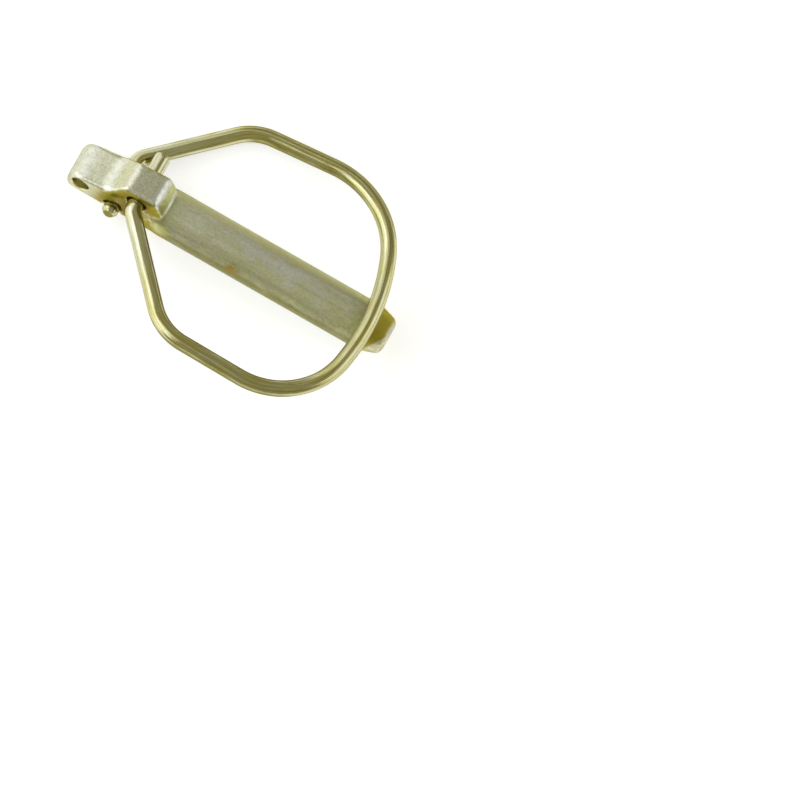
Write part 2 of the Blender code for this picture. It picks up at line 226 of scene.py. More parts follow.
class FinishColours(bpy.types.PropertyGroup):
    """Colours of the plating, some of them standing in part for painted shade and painted highlight."""

    forging: tint("Head", (0.82, 0.815, 0.64), "Pale zinc on the forged head")
    plateau: tint("Post top", (0.72, 0.715, 0.58), "Duller metal on the post and the eye end")
    ramp: tint("Ramp", (0.70, 0.69, 0.46), "Greener film on the ramp")
    # This green also stands for the wire's reflection, painted on the shank.
    slope: tint("Shoulder slope", (0.60, 0.60, 0.28), "Green film there and in patches on the shank")
    # The golden film on the head's sides is partly painted shade, darker where they face sideways or down.
    side: tint("Head sides", (0.37, 0.315, 0.055), "Golden film on the head")
    bore: tint("Hole walls", (0.78, 0.74, 0.36), "Film inside the holes")
    # A dark olive painted shade, between the wire holes and along the shank's near edge.
    pool: tint("Pool", (0.20, 0.17, 0.028), "Olive between the wire holes and along the shank")
    # Amber: painted shade round the wire holes, a real stain on the shank, and clouds in the tip's gold.
    stain_and_shade: tint("Stain", (0.40, 0.27, 0.05), "Amber where the bath pooled")
    # Pale edge colour: worn metal on the head's edges, and painted highlight on the bands along its steps.
    pale_edge: tint("Worn edge", (0.85, 0.855, 0.81), "Bare metal on the edges")
    shank: tint("Shank", (0.755, 0.765, 0.715), "Greyer zinc on the shank")
    shank_green: tint("Shank, green", (0.68, 0.69, 0.46), "Thicker film on its near side")
    # The shank's side colours are olive film and painted shade on what faces sideways or down, lighter on the
    # far side.
    shank_side_film_and_shade: tint("Shank sides", (0.355, 0.345, 0.18), "Olive film on the shank")
    shank_far_film_and_shade: tint("Shank far side", (0.60, 0.59, 0.32), "Thinner film there")
    fresh: tint("Shank, fresh", (0.84, 0.84, 0.71), "Brighter by the shoulder and on the tip")
    moss: tint("Shank, moss", (0.60, 0.62, 0.36), "Green patches there")
    tan: tint("Shank, tan", (0.68, 0.62, 0.36), "Warm blotches there and on the tip")
    # The tip's gold is partly painted shade on the cone.
    tip: tint("Tip", (0.43, 0.375, 0.05), "Gold on the cone of the tip")
    wire: tint("Wire", (0.70, 0.67, 0.40), "Bright zinc on the wire")
    wire_yellow: tint("Wire, yellow", (0.66, 0.61, 0.27), "Thicker film there")
    # Painted paler where the legs carry their highlights.
    wire_pale_highlight: tint("Wire, pale", (0.74, 0.73, 0.56), "Thin film on its two legs by the head")
    wire_gold: tint("Wire, gold", (0.60, 0.53, 0.16), "On the wire by the head")
    # The wire's olive film is partly painted shade, on what faces sideways or down.
    wire_side_film_and_shade: tint("Wire sides", (0.27, 0.24, 0.075), "Olive film on the wire")
    dull: tint("Dull", (0.66, 0.66, 0.60), "How far the grain darkens")
    rim: tint("Rims", (0.66, 0.64, 0.46), "Reflection at a glancing angle")


def pin_to_row():
    """From the pin's own frame to the row's."""
    sizes = bpy.context.scene.lock_pin_sizes
    shoulder = TIP_FACE - Vector((sizes.shank_length, 0.0, 0.0))
    return Matrix.Translation(shoulder) @ Matrix.Rotation(-RESTING_ROLL, 4, "X")


def deselect_all():
    """Leave edit mode and clear the selection, so an operator acts only on what comes next."""
    if bpy.context.object and bpy.context.object.mode != "OBJECT":
        bpy.ops.object.mode_set(mode="OBJECT")
    bpy.ops.object.select_all(action="DESELECT")


def pick(piece):
    """Select one object alone and make it active."""
    deselect_all()
    piece.select_set(True)
    bpy.context.view_layer.objects.active = piece


def apply_modifier(piece, kind, **values):
    """Add a modifier, set it and apply it."""
    pick(piece)
    modifier = piece.modifiers.new(kind.lower(), kind)
    for name, value in values.items():
        setattr(modifier, name, value)
    bpy.ops.object.modifier_apply(modifier=modifier.name)


def select_in_mesh(piece, mode, test):
    """Go into edit mode, selecting what passes the test: a vertex, an edge's two ends or a face's centre."""
    pick(piece)
    bpy.ops.object.mode_set(mode="EDIT")
    bpy.context.tool_settings.mesh_select_mode = (mode == "VERT", mode == "EDGE", mode == "FACE")
    mesh = bmesh.from_edit_mesh(piece.data)
    for vert in mesh.verts:
        vert.select = False
    mesh.select_flush(False)
    items = {"VERT": mesh.verts, "EDGE": mesh.edges, "FACE": mesh.faces}[mode]
    for item in items:
        if mode == "VERT":
            chosen = test(item.co)
        elif mode == "EDGE":
            chosen = test(item.verts[0].co) and test(item.verts[1].co)
        else:
            chosen = test(item.calc_center_median())
        item.select = chosen
    mesh.select_flush_mode()
    bmesh.update_edit_mesh(piece.data)


def near(value, target):
    """Whether two lengths are the same to a hundredth of a millimetre."""
    return abs(value - target) < TOLERANCE


def add_cylinder(name, radius, start, end, sides, along="X", place=(0.0, 0.0, 0.0)):
    """A cylinder primitive from start to end along X or Y of the pin's frame."""
    deselect_all()
    turn = (0.0, math.radians(90.0), 0.0) if along == "X" else (math.radians(-90.0), 0.0, 0.0)
    middle = Vector(place)
    middle["XYZ".index(along)] = (start + end) / 2.0
    bpy.ops.mesh.primitive_cylinder_add(
        vertices=sides, radius=radius, depth=end - start, location=middle, rotation=turn
    )
    piece = bpy.context.object
    piece.name = name
    bpy.ops.object.transform_apply(location=True, rotation=True, scale=True)
    return piece


def extrude(offset):
    """Extrude what is selected by an offset."""
    bpy.ops.mesh.extrude_region_move(TRANSFORM_OT_translate={"value": offset})


def resize(value, centre=(0.0, 0.0, 0.0)):
    """Scale what is selected about a centre."""
    bpy.ops.transform.resize(value=value, center_override=centre)


def bevel(width, segments):
    """Round what is selected."""
    bpy.ops.mesh.bevel(offset=width, offset_type="OFFSET", segments=segments, affect="EDGES")


def combine(piece, other, operation, solver="EXACT"):
    """Keep what a piece shares with another mesh, or cut the other away, and remove the other."""
    apply_modifier(piece, "BOOLEAN", operation=operation, object=other, solver=solver)
    bpy.data.objects.remove(other, do_unlink=True)


def soften(piece, fineness, passes):
    """Give a piece one even skin, with its sharp edges eased."""
    apply_modifier(piece, "REMESH", mode="VOXEL", voxel_size=fineness, use_smooth_shade=True)
    apply_modifier(piece, "SMOOTH", factor=0.5, iterations=passes)


def mark_side(piece):
    """Record at each point how far its surface faces sideways, more so on the far side, and 1 underneath."""
    attribute = piece.data.attributes.new("side", "FLOAT", "POINT")
    turn = pin_to_row().to_3x3()
    for vert, normal in zip(piece.data.vertices, piece.data.vertex_normals):
        facing = turn @ normal.vector
        # Raised on the far side, so that the film and its painted shade reach higher there.
        share = facing.y * FAR_FILM_AND_SHADE if facing.y > 0.0 else -facing.y
        attribute.data[vert.index].value = share if facing.z > 0.0 else 1.0


def finish_piece(piece, name, material):
    """Turn a piece into the row's frame, and give it its name and its material."""
    piece.data.transform(pin_to_row())
    piece.name = name
    piece.data.name = name
    piece.data.materials.clear()
    piece.data.materials.append(material)


def add_head_block(sizes):
    """The head's upper part: a cube cut at its steps, each raised to its own height."""
    deselect_all()
    end = sizes.shoulder_foot + OVERLAP
    length = sizes.head_length + end
    depth = sizes.shank_radius
    bpy.ops.mesh.primitive_cube_add(size=1.0)
    head = bpy.context.object
    head.name = "head_block"
    head.dimensions = (length, sizes.head_half_width * 2.0, sizes.end_height + depth)
    head.location = (end - length / 2.0, 0.0, (sizes.end_height - depth) / 2.0)
    bpy.ops.object.transform_apply(location=True, rotation=False, scale=True)
    bpy.ops.object.mode_set(mode="EDIT")
    waist = -sizes.ramp_top - sizes.waist_lead
    for x in (-sizes.crown_start, -sizes.ramp_foot, waist, -sizes.ramp_top, -sizes.post_edge):
        bpy.ops.mesh.select_all(action="SELECT")
        bpy.ops.mesh.bisect(plane_co=(x, 0.0, 0.0), plane_no=(1.0, 0.0, 0.0))
    waist_share = (waist + sizes.ramp_foot) / (sizes.ramp_foot - sizes.ramp_top)
    slope = (sizes.post_height - sizes.shank_radius) / (sizes.post_edge + sizes.shoulder_foot)
    steps = [
        (-sizes.crown_start, sizes.crown_height),
        (-sizes.ramp_foot, sizes.foot_height),
        (waist, sizes.foot_height + (sizes.post_back_height - sizes.foot_height) * waist_share),
        (-sizes.ramp_top, sizes.post_back_height),
        (-sizes.post_edge, sizes.post_height),
        (end, sizes.shank_radius - slope * OVERLAP),
    ]
    for x, height in steps:
        select_in_mesh(head, "VERT", lambda co: near(co.x, x) and near(co.z, sizes.end_height))
        bpy.ops.transform.translate(value=(0.0, 0.0, height - sizes.end_height))
    return head


def narrow_post(head, sizes):
    """Draw the post's sides in above the ledge, and the eye end's sides in a little."""
    for z in (sizes.ledge_foot, sizes.ledge_head):
        select_in_mesh(head, "FACE", lambda co: co.x > -sizes.ramp_top - sizes.waist_lead)
        bpy.ops.mesh.bisect(plane_co=(0.0, 0.0, z), plane_no=(0.0, 0.0, 1.0))
    narrow = sizes.post_half_width / sizes.head_half_width
    flare = 1.0 + sizes.post_flare / sizes.post_half_width
    above = sizes.ledge_head - TOLERANCE
    for start, share in ((-sizes.ramp_top, narrow), (-sizes.post_edge, flare)):
        select_in_mesh(head, "VERT", lambda co: co.x > start - TOLERANCE and co.z > above)
        resize((1.0, share, 1.0))
    select_in_mesh(head, "VERT", lambda co: near(co.x, -sizes.head_length))
    resize((1.0, 1.0 - sizes.end_taper / sizes.head_half_width, 1.0))


def bevel_along(head, sizes):
    """Round the two edges that run along the head's top, where its steps meet its sides."""
    select_in_mesh(head, "EDGE", lambda co: False)
    mesh = bmesh.from_edit_mesh(head.data)
    for edge in mesh.edges:
        tops = [face for face in edge.link_faces if face.normal.z > 0.5]
        sides = [face for face in edge.link_faces if abs(face.normal.y) > 0.7]
        edge.select = bool(tops and sides)
    mesh.select_flush_mode()
    bmesh.update_edit_mesh(head.data)
    bevel(sizes.top_edge, 4)


def bevel_across(head, sizes):
    """Round the edges that run across the head's top, where its steps meet."""
    edges = [
        (-sizes.crown_start, sizes.end_height, sizes.crown_rounding),
        (-sizes.ramp_foot, sizes.end_height, sizes.foot_rounding),
        (-sizes.ramp_top, sizes.foot_height, sizes.ramp_rounding),
        (-sizes.post_edge, sizes.shank_radius, sizes.post_rounding),
    ]
    for x, height, width in edges:
        select_in_mesh(head, "EDGE", lambda co: near(co.x, x) and co.z > height)
        bevel(width, round(width / ROUNDING_FACET))


def add_shoulder_cone(sizes):
    """A cone round the pin's axis, which brings the shoulder's slope down onto the round shank."""
    deselect_all()
    slope = (sizes.post_height - sizes.shank_radius) / sizes.post_edge
    end = sizes.shoulder_foot + OVERLAP
    end_radius = sizes.shank_radius - slope * OVERLAP
    depth = sizes.head_length * CONE_SPAN
    bpy.ops.mesh.primitive_cone_add(
        vertices=ROUND_SIDES,
        radius1=end_radius + depth * slope,
        radius2=end_radius,
        depth=depth,
        location=(end - depth / 2.0, 0.0, 0.0),
        rotation=(0.0, math.radians(90.0), 0.0),
    )
    bpy.ops.object.transform_apply(location=True, rotation=True, scale=True)
    return bpy.context.object


def add_underside(sizes):
    """A cylinder of the shank's radius, drawn up past the head, which rounds the head's underside."""
    start = -sizes.head_length - PAST_HEAD
    underside = add_cylinder("underside", sizes.shank_radius, start, PAST_HEAD, ROUND_SIDES)
    select_in_mesh(underside, "VERT", lambda co: co.z > -TOLERANCE)
    bpy.ops.transform.translate(value=(0.0, 0.0, sizes.post_height * 2.0))
    return underside


def add_head(sizes):
    """The forged head: its block on the round underside, with every edge rounded."""
    head = add_head_block(sizes)
    narrow_post(head, sizes)
    bevel_along(head, sizes)
    bevel_across(head, sizes)
    combine(head, add_underside(sizes), "INTERSECT")
    combine(head, add_shoulder_cone(sizes), "INTERSECT")
    select_in_mesh(head, "FACE", lambda co: near(co.x, -sizes.head_length))
    bevel(sizes.end_rounding, 6)
    return head


def add_shank(sizes):
    """The round shank, with its tapered and rounded tip, and a start that runs in under the flats."""
    start = sizes.shoulder_foot
    reach = sizes.tip_taper_length
    shank = add_cylinder("shank", sizes.shank_radius, start, sizes.shank_length - reach, ROUND_SIDES)
    select_in_mesh(shank, "FACE", lambda co: co.x < start + TOLERANCE)
    extrude((-sizes.run_out, 0.0, 0.0))
    share = sizes.head_half_width / sizes.shank_radius
    resize((1.0, share, share))
    edge_radius = sizes.shank_radius - reach * math.tan(sizes.tip_taper_angle)
    select_in_mesh(shank, "FACE", lambda co: co.x > sizes.shank_length - reach - TOLERANCE)
    extrude((reach, 0.0, 0.0))
    share = edge_radius / sizes.shank_radius
    resize((1.0, share, share), (sizes.shank_length, 0.0, 0.0))
    bevel(sizes.tip_corner, 8)
    return shank


def forge(head, shank, sizes):
    """Merge the head and the shank under one softened skin, as a forging's is."""
    pick(shank)
    head.select_set(True)
    bpy.context.view_layer.objects.active = head
    bpy.ops.object.join()
    soften(head, sizes.softness, FORGED_PASSES)


def drill(pin, radius, x, z, half_width):
    """Cut one hole across the head, with its two mouths eased."""
    cutter = add_cylinder("drill", radius, -half_width, half_width, HOLE_SIDES, "Y", (x, 0.0, z))
    for side in (-1.0, 1.0):
        select_in_mesh(cutter, "FACE", lambda co: co.y * side > half_width - TOLERANCE)
        for reach, growth in ((MOUTH_EASE * 2.0, MOUTH_EASE), (half_width, 0.0)):
            extrude((0.0, side * reach, 0.0))
            share = 1.0 + growth / radius
            resize((share, 1.0, share), (x, 0.0, z))
    combine(pin, cutter, "DIFFERENCE", "MANIFOLD")


class LOCKPIN_OT_forged_pin(bpy.types.Operator):
    """Model the forged pin with its eye and its two wire holes"""

    bl_idname = "lockpin.forged_pin"
    bl_label = "Forged Pin"

    def execute(self, context):
        sizes = context.scene.lock_pin_sizes
        wire = context.scene.lock_pin_wire
        pin = add_head(sizes)
        forge(pin, add_shank(sizes), sizes)
        drill(pin, sizes.eye_radius, sizes.eye_x, sizes.eye_z, sizes.head_half_width)
        drill(pin, sizes.wire_hole_radius, wire.low_hole_x, wire.low_hole_z, sizes.head_half_width)
        drill(pin, sizes.wire_hole_radius, wire.high_hole_x, wire.high_hole_z, sizes.post_half_width)
        soften(pin, sizes.softness, LAST_PASSES)
        mark_side(pin)
        finish_piece(pin, "forged_pin", forging_material())
        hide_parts("pin")
        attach(pin, "pin")
        return {"FINISHED"}


def fillet(corners, radii, spacing):
    """Points along straight runs whose inner corners are rounded by arcs, spacing apart."""
    runs = [Vector(corner) for corner in corners]
    turns = []
    setbacks = []
    for before, corner, after, radius in zip(runs, runs[1:], runs[2:], radii):
        to_before = (before - corner).normalized()
        to_after = (after - corner).normalized()
        half = to_before.angle(to_after) / 2.0
        turns.append((corner, to_before, to_after, half))
        setbacks.append(radius / math.tan(half))
    for index in range(len(turns) - 1):
        run = (turns[index][0] - turns[index + 1][0]).length
        need = setbacks[index] + setbacks[index + 1]
        if need > run:
            setbacks[index] *= run / need
            setbacks[index + 1] *= run / need
    points = [runs[0]]
    for (corner, to_before, to_after, half), setback in zip(turns, setbacks):
        centre = corner + (to_before + to_after).normalized() * (setback / math.cos(half))
        start = corner + to_before * setback - centre
        end = corner + to_after * setback - centre
        sweep = start.angle_signed(end)
        count = max(8, math.ceil(abs(sweep) * start.length / spacing))
        for step in range(count + 1):
            points.append(centre + Matrix.Rotation(-sweep * step / count, 2) @ start)
    points.append(runs[-1])
    result = [points[0]]
    for start, end in zip(points, points[1:]):
        count = max(1, math.ceil((end - start).length / spacing))
        result += [start.lerp(end, step / count) for step in range(1, count + 1)]
    return result


def wire_path(wire, sizes):
    """The wire's centre line in the pin's frame, from the end in the low hole to the end in the high hole."""
    first = (wire.low_hole_x, -sizes.head_half_width - LOW_END_REACH + wire.end_pinch)
    last = (wire.high_hole_x, sizes.post_half_width + HIGH_END_REACH - wire.end_pinch)
    bends = [
        (wire.low_hole_x, sizes.head_half_width + LOW_ELBOW_REACH, ELBOW_BEND),
        (FAR_KNEE_X, wire.half_width, FAR_KNEE_BEND),
        (wire.apex_x - FAR_CORNER_BACK, wire.half_width + FAR_CORNER_OUT, FAR_CORNER_BEND),
        (wire.apex_x, APEX_Y, APEX_BEND),
        (wire.apex_x - NEAR_CORNER_BACK, -wire.half_width - NEAR_CORNER_OUT, NEAR_CORNER_BEND),
        (NEAR_KNEE_X, -wire.half_width - NEAR_KNEE_OUT, NEAR_KNEE_BEND),
        (wire.high_hole_x, -sizes.post_half_width - HIGH_ELBOW_REACH, ELBOW_BEND),
    ]
    corners = [first] + [(x, y) for x, y, radius in bends] + [last]
    plan = fillet(corners, [radius for x, y, radius in bends], wire.spacing)
    crossing = max(range(len(plan)), key=lambda index: plan[index].x)
    crossing_x = plan[crossing].x
    path = []
    for index, point in enumerate(plan):
        hole_x, hole_z = wire.low_hole_x, wire.low_hole_z
        if index > crossing:
            hole_x, hole_z = wire.high_hole_x, wire.high_hole_z
        climb = max((point.x - hole_x) / (crossing_x - hole_x), 0.0)
        path.append(Vector((point.x, point.y, hole_z + (wire.seat_height - hole_z) * climb)))
    return path


def add_wire(path, radius, sides):
    """A round wire swept along the path, made a mesh."""
    deselect_all()
    curve = bpy.data.curves.new("wire", "CURVE")
    curve.dimensions = "3D"
    curve.bevel_depth = radius
    # A round bevel has four sides, and two more for each step of its resolution
    curve.bevel_resolution = sides // 2 - 2
    curve.use_fill_caps = True
    spline = curve.splines.new("POLY")
    spline.points.add(len(path) - 1)
    for target, point in zip(spline.points, path):
        target.co = (*point, 1.0)
    piece = bpy.data.objects.new("wire", curve)
    bpy.context.collection.objects.link(piece)
    pick(piece)
    bpy.ops.object.convert(target="MESH")
    piece = bpy.context.object
    bpy.ops.object.mode_set(mode="EDIT")
    bpy.ops.mesh.select_all(action="SELECT")
    bpy.ops.mesh.remove_doubles(threshold=WELD_DISTANCE)
    bpy.ops.mesh.normals_make_consistent(inside=False)
    return piece


def pinch_ends(piece, path, wire):
    """Give the wire's two cut ends the blunt chisel that a cutter leaves."""
    for end, side, share in ((path[0], -1.0, wire.low_pinch), (path[-1], 1.0, wire.high_pinch)):
        select_in_mesh(piece, "FACE", lambda co: near(co.y, end.y) and (co - end).length < wire.radius)
        bpy.ops.mesh.dissolve_faces()
        extrude((0.0, side * wire.end_pinch, 0.0))
        resize((share, 1.0, wire.pinch_height), end)
        bevel(wire.end_bevel, 3)
    bpy.ops.object.mode_set(mode="OBJECT")


def carried_frames(path):
    """For each point of the path: the length so far, the way on, and a way across that never twists."""
    lengths = [0.0]
    for start, end in zip(path, path[1:]):
        lengths.append(lengths[-1] + (end - start).length)
    tangents = []
    for index in range(len(path)):
        before = path[max(index - 1, 0)]
        after = path[min(index + 1, len(path) - 1)]
        tangents.append((after - before).normalized())
    across = tangents[0].orthogonal().normalized()
    ways_across = [across]
    for before, after in zip(tangents, tangents[1:]):
        across = before.rotation_difference(after) @ across
        across = (across - after * across.dot(after)).normalized()
        ways_across.append(across)
    return list(zip(lengths, tangents, ways_across))


def mark_straightened(piece, path):
    """Give each point its place on the wire before it was bent: along it, and across it two ways."""
    tree = kdtree.KDTree(len(path))
    for index, point in enumerate(path):
        tree.insert(point, index)
    tree.balance()
    frames = carried_frames(path)
    attribute = piece.data.attributes.new("straightened", "FLOAT_VECTOR", "POINT")
    for vert in piece.data.vertices:
        index = tree.find(vert.co)[1]
        length, tangent, across = frames[index]
        offset = vert.co - path[index]
        place = (length + offset.dot(tangent), offset.dot(across), offset.dot(tangent.cross(across)))
        attribute.data[vert.index].vector = place


class LOCKPIN_OT_wire_ring(bpy.types.Operator):
    """Bend the spring wire into its ring"""

    bl_idname = "lockpin.wire_ring"
    bl_label = "Wire Ring"

    def execute(self, context):
        wire = context.scene.lock_pin_wire
        path = wire_path(wire, context.scene.lock_pin_sizes)
        ring = add_wire(path, wire.radius, wire.sides)
        pinch_ends(ring, path, wire)
        mark_straightened(ring, path)
        mark_side(ring)
        pick(ring)
        bpy.ops.object.shade_smooth_by_angle(angle=SMOOTH_ANGLE)
        finish_piece(ring, "spring_wire", wire_material())
        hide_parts("wire_ring")
        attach(ring, "ring")
        return {"FINISHED"}


class Nodes:
    """A short way to build one material's nodes."""

    def __init__(self, name):
        self.material = bpy.data.materials.new(name)
        self.material.use_nodes = True
        self.tree = self.material.node_tree
        self.shader = self.tree.nodes["Principled BSDF"]
        self.colours = bpy.context.scene.lock_pin_colours

    def add(self, kind, inputs=None, **values):
        """One node, with its settings and its inputs; an input is a socket or a plain value."""
        node = self.tree.nodes.new("ShaderNode" + kind)
        for name, value in values.items():
            setattr(node, name, value)
        for name, value in (inputs or {}).items():
            self.feed(node.inputs[name], value)
        return node

    def feed(self, socket, value):
        """Link a socket to an input, or set the input's plain value, a colour with full alpha."""
        if isinstance(value, bpy.types.NodeSocket):
            self.tree.links.new(value, socket)
        elif socket.type == "RGBA":
            socket.default_value = (*value, 1.0)
        else:
            socket.default_value = value

    def attribute(self, name, output):
        """A value that the mesh's points carry."""
        return self.add("Attribute", attribute_name=name).outputs[output]

    def stretch(self, vector, scale, location=(0.0, 0.0, 0.0)):
        """A pattern's coordinates, scaled differently each way."""
        node = self.add("Mapping", {"Vector": vector, "Scale": scale, "Location": location})
        return node.outputs["Vector"]

    def pattern(self, vector, kind, shift=(0.0, 0.0, 0.0)):
        """A noise pattern's value."""
        along, scale, detail, roughness, distortion = kind
        inputs = {
            "Vector": self.stretch(vector, (along, 1.0, 1.0), shift),
            "Scale": scale,
            "Detail": detail,
            "Roughness": roughness,
            "Distortion": distortion,
        }
        return self.add("TexNoise", inputs).outputs["Fac"]

    def ramp(self, value, low, high, start=0.0, end=1.0):
        """A value that runs from start to end while its input runs from low to high."""
        inputs = {"Value": value, "From Min": low, "From Max": high, "To Min": start, "To Max": end}
        node = self.add("MapRange", inputs, clamp=True, interpolation_type="SMOOTHSTEP")
        return node.outputs["Result"]

    def between(self, value, first, last, fade, strength=1.0):
        """Strength from the first value to the last, fading to 0 on both sides."""
        rise = self.ramp(value, first - fade, first + fade, 0.0, strength)
        return self.times(rise, self.ramp(value, last - fade, last + fade, 1.0, 0.0))

    def within(self, vector, centre, reach, fade):
        """1 inside a ball round a point, fading to 0 past its reach."""
        distance = self.math("DISTANCE", vector, centre, "VectorMath")
        return self.ramp(distance, reach, reach + fade, 1.0, 0.0)

    def mix(self, factor, first, second, blend="MIX"):
        """Two colours mixed."""
        node = self.add("Mix", data_type="RGBA", blend_type=blend)
        self.feed(node.inputs[0], factor)
        self.feed(node.inputs[6], first)
        self.feed(node.inputs[7], second)
        return node.outputs[2]

    def darken(self, factor, colour):
        """A colour darkened towards the dull one."""
        return self.mix(factor, colour, self.colours.dull, "MULTIPLY")

    def math(self, operation, first, second=0.0, kind="Math"):
        """One sum of two values, or of two vectors where the kind is VectorMath."""
        node = self.add(kind, operation=operation)
        self.feed(node.inputs[0], first)
        self.feed(node.inputs[1], second)
        return node.outputs["Value"]

    def times(self, first, second):
        """Two values multiplied."""
        return self.math("MULTIPLY", first, second)

    def plus(self, first, second):
        """Two values added."""
        return self.math("ADD", first, second)

    def around(self, value, reach):
        """A pattern's value turned into a shift to both sides of 0."""
        return self.times(self.math("SUBTRACT", value, 0.5), reach)

    def bump(self, height, strength, distance, normal=None):
        """A bump from a height, over another bump where there is one."""
        inputs = {"Height": height, "Strength": strength, "Distance": distance}
        if normal is not None:
            inputs["Normal"] = normal
        return self.add("Bump", inputs).outputs["Normal"]

    def plated(self, colour, roughness, relief):
        """The material as plated metal."""
        self.feed(self.shader.inputs["Base Color"], colour)
        self.feed(self.shader.inputs["Metallic"], 1.0)
        self.feed(self.shader.inputs["Specular Tint"], self.colours.rim)
        self.feed(self.shader.inputs["Roughness"], roughness)
        self.feed(self.shader.inputs["Normal"], relief)
        return self.material


def pin_coordinates(nodes):
    """Object coordinates turned into the pin's own frame."""
    turned = pin_to_row().inverted()
    inputs = {
        "Vector": nodes.add("TexCoord").outputs["Object"],
        "Location": turned.to_translation(),
        "Rotation": turned.to_euler(),
    }
    return nodes.add("Mapping", inputs).outputs["Vector"]


def side_film_and_shade(nodes, side, uneven, start, end):
    """How strongly the yellow film and the painted shade in it show: on what faces sideways or down, with a
    broken edge.
    """
    return nodes.ramp(nodes.plus(side, nodes.around(uneven, 0.5)), start, end)


class PinSkin(Nodes):
    """The pin's nodes, with the places and patterns that its finish is made from."""

    def __init__(self, name):
        super().__init__(name)
        self.sizes = bpy.context.scene.lock_pin_sizes
        self.place = pin_coordinates(self)
        self.along = self.add("SeparateXYZ", {"Vector": self.place}).outputs["X"]
        self.across = self.math("DOT_PRODUCT", self.place, FILM_AND_SHADE_ACROSS, "VectorMath")
        self.side = self.attribute("side", "Fac")
        self.clouds = self.pattern(self.place, CLOUDS)
        self.mottle = self.pattern(self.place, MOTTLE)
        self.grain = self.pattern(self.place, GRAIN)
        self.blotches = self.plus(self.times(self.clouds, 0.8), self.times(self.mottle, 0.2))
        self.broken = self.plus(self.along, self.around(self.mottle, 0.0006))
        self.top = self.ramp(self.side, 0.55, 0.85, 1.0, 0.0)
        self.far = self.ramp(self.across, -0.0010, 0.0010)
        self.near = self.math("SUBTRACT", 1.0, self.far)
        self.on_head = self.ramp(self.broken, -0.0002, 0.0008, 1.0, 0.0)
        plateau = (-self.sizes.ramp_top + 0.0004, -self.sizes.post_edge - 0.0005)
        self.on_plateau = self.between(self.broken, *plateau, 0.0003)


def shank_zinc(skin):
    """The shank's zinc: greener on its near side, brighter by the shoulder, with stripes and blotches, and
    the wire's reflection painted where the wire crosses it.
    """
    colours = skin.colours
    sizes = skin.sizes
    apex = bpy.context.scene.lock_pin_wire.apex_x
    lean = skin.ramp(skin.plus(skin.across, skin.around(skin.blotches, 0.022)), -0.0026, 0.0030)
    colour = skin.mix(lean, colours.shank_green, colours.shank)
    colour = skin.mix(skin.ramp(skin.along, 0.004, 0.020, 0.75, 0.0), colour, colours.fresh)
    stripes = skin.pattern(skin.place, STRIPES)
    colour = skin.darken(skin.ramp(stripes, 0.42, 0.66, 0.0, 0.45), colour)
    drift = skin.pattern(skin.place, DRIFT, DRIFT_SHIFT)
    by_tip = skin.ramp(skin.along, sizes.shank_length - 0.018, sizes.shank_length - 0.006, 0.0, 0.14)
    tan = skin.ramp(skin.plus(drift, by_tip), 0.54, 0.66, 0.0, 0.7)
    tan = skin.times(tan, skin.ramp(skin.side, 0.05, 0.40))
    colour = skin.mix(tan, colour, colours.tan)
    patches = skin.pattern(skin.place, PATCHES, PATCH_SHIFT)
    colour = skin.mix(skin.ramp(patches, 0.50, 0.66, 0.0, 0.45), colour, colours.moss)
    # The wire's yellow-green reflection, painted on the shank where the wire crosses it.
    wire_reflection = skin.between(skin.broken, apex - 0.0056, apex - 0.0001, 0.0020, 0.75)
    wire_reflection = skin.times(wire_reflection, skin.ramp(skin.blotches, 0.44, 0.56))
    colour = skin.mix(wire_reflection, colour, colours.slope)
    return skin.mix(skin.ramp(skin.along, 0.0010, 0.0060, 0.30, 0.0), colour, colours.slope)


def step_films_wear_and_highlights(skin, colour):
    """Films on the ramp, the shoulder's slope and the eye end, and pale bands on the steps between them:
    partly worn metal, partly painted highlight.
    """
    colours = skin.colours
    sizes = skin.sizes
    place = skin.broken
    end = -sizes.head_length
    films = (
        (skin.between(place, -sizes.ramp_foot + 0.0008, -sizes.ramp_top - 0.0006, 0.0006, 0.9), colours.ramp),
        (skin.between(place, -sizes.post_edge + 0.0007, 0.0001, 0.0004, 0.9), colours.slope),
        (skin.ramp(place, end + 0.0006, end + 0.0020, 0.9, 0.0), colours.plateau),
    )
    for share, film in films:
        colour = skin.mix(skin.times(share, skin.top), colour, film)
    # Pale bands on the step edges: partly worn metal, partly painted highlight, broadest on the post's edge.
    edges = (
        (-sizes.crown_start - 0.0009, -sizes.crown_start + 0.0005, 0.60),
        (-sizes.ramp_foot - 0.0006, -sizes.ramp_foot + 0.0008, 0.40),
        (-sizes.ramp_top - 0.0005, -sizes.ramp_top + 0.0005, 0.15),
        (-sizes.post_edge - 0.0011, -sizes.post_edge + 0.0007, 1.0),
        (sizes.shoulder_foot - 0.0003, sizes.shoulder_foot + 0.0002, 0.30),
    )
    for first, last, strength in edges:
        share = skin.times(skin.between(place, first, last, 0.0004, strength), skin.top)
        colour = skin.mix(share, colour, colours.pale_edge)
    return colour


def head_zinc(skin, colour):
    """The head's paler zinc on the shank's, with the grain of both, the wear on the head's edges and the
    painted highlights on its steps.
    """
    colours = skin.colours
    colour = skin.mix(skin.on_head, colour, colours.forging)
    colour = skin.mix(skin.on_plateau, colour, colours.plateau)
    colour = step_films_wear_and_highlights(skin, colour)
    colour = skin.darken(skin.ramp(skin.mottle, 0.35, 0.70, 0.0, 0.40), colour)
    strength = skin.plus(skin.times(skin.on_plateau, 0.33), 0.42)
    colour = skin.darken(skin.times(skin.ramp(skin.grain, 0.42, 0.62), strength), colour)
    edges = skin.ramp(skin.add("NewGeometry").outputs["Pointiness"], 0.515, 0.575)
    edges = skin.times(edges, skin.ramp(skin.along, -0.0014, -0.0004, 1.0, 0.0))
    pale_edge = skin.times(skin.times(edges, skin.top), skin.ramp(skin.mottle, 0.42, 0.60, 0.0, 0.5))
    return skin.mix(pale_edge, colour, colours.pale_edge)


